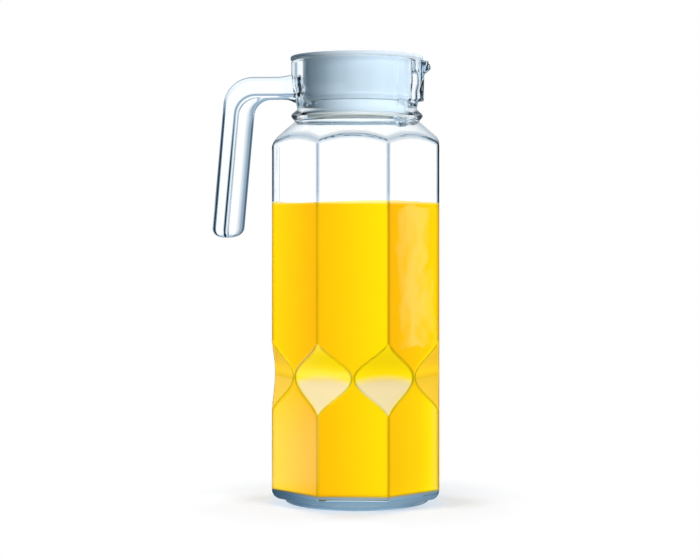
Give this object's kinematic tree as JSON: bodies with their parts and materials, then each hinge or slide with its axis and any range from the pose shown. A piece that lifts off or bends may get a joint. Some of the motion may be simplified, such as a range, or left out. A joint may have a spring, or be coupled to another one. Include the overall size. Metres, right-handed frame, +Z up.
{
  "type": "water jug",
  "caption": "Tall faceted glass jug with a waist of almond-shaped scoops, an open side handle, a pouring lip and a push-in strainer lid.",
  "frame": {"origin": "centre of the jug's base, on its axis, in the plane it stands on", "axes": "+Z up along the jug's axis, +X towards the pouring lip, -X towards the handle, -Y is the front"},
  "size_m": [0.1355, 0.0984, 0.265],
  "materials": {
    "glass": "clear pressed glass, fire polished, faintly blue in thick places",
    "lid_plastic": "frosted translucent polyethylene, fine matt mould texture",
    "seal_rubber": "soft translucent sealing ring",
    "drink": "opaque orange-yellow juice, stands for the contents in the pictures only"
  },
  "bodies": {
    "jug": {"jug_body": "glass", "handle": "glass"},
    "seal": {"lid_seal": "seal_rubber"},
    "lid": {"lid": "lid_plastic"}
  },
  "joints": [
    {"name": "lid_lift", "type": "slide", "parent": "jug", "child": "seal", "axis": [0, 0, 1], "range_m": [0, 0.06]},
    {"name": "lid_turn", "type": "hinge", "parent": "seal", "child": "lid", "pos_m": [0, 0, 0.25], "axis": [0, 0, 1], "continuous": true}
  ]
}
